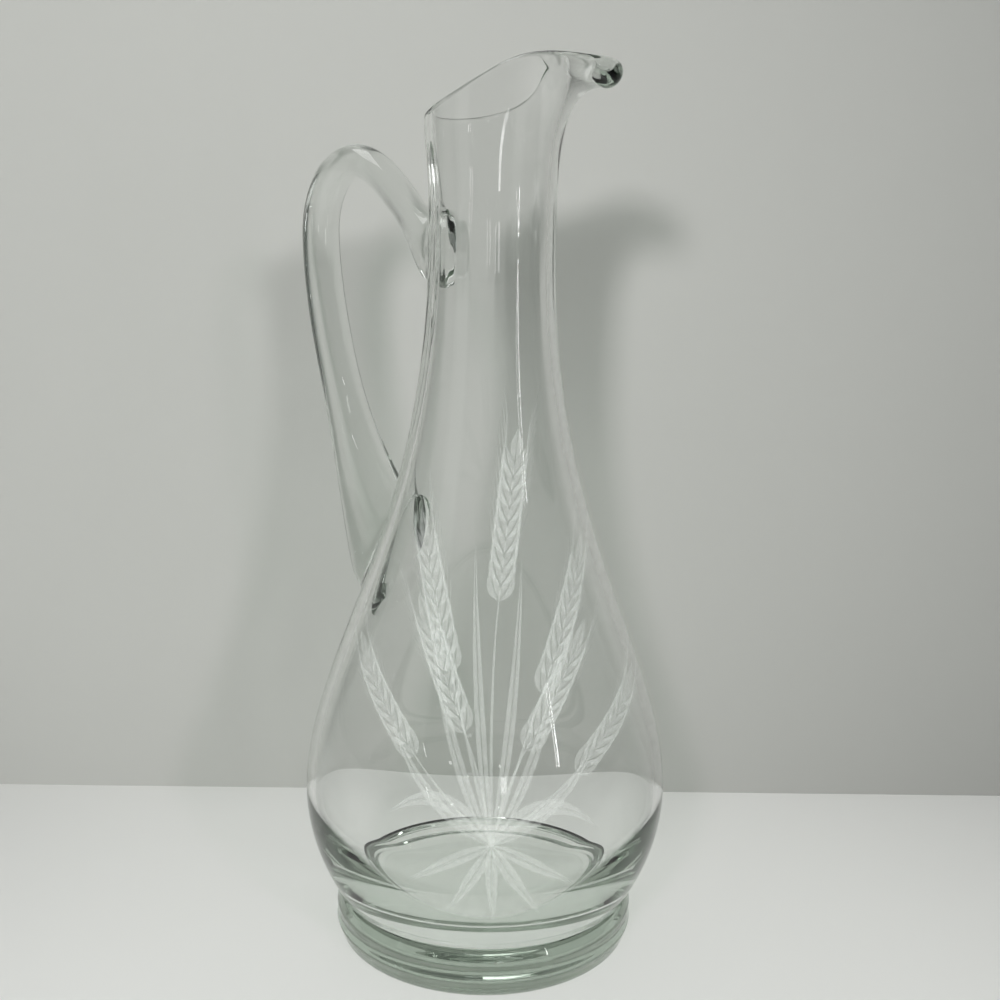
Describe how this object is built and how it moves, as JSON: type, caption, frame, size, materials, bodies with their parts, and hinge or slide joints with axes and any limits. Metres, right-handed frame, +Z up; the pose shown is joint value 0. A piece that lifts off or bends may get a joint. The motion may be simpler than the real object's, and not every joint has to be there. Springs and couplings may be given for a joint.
{
  "type": "carafe",
  "caption": "Tall clear glass carafe with a pear-shaped bowl on a thick round foot, a long neck, a slanted mouth with a pulled spout and a looped handle, for serving drinks.",
  "frame": {"origin": "centre of the foot's flat underside, on the carafe's axis, where it stands on the table", "axes": "+Z up along the carafe's axis, +X towards the spout, -X towards the handle"},
  "size_m": [0.1326, 0.117, 0.2811],
  "materials": {
    "foot_glass": "thick fire-polished clear glass with a faint grey-green tint",
    "body_glass": "blown clear glass with a faint grey-green tint and a frosted etched design on the bowl",
    "handle_glass": "drawn clear glass with a faint grey-green tint"
  },
  "bodies": {
    "root": {"foot": "foot_glass", "body": "body_glass", "handle": "handle_glass"}
  },
  "joints": []
}
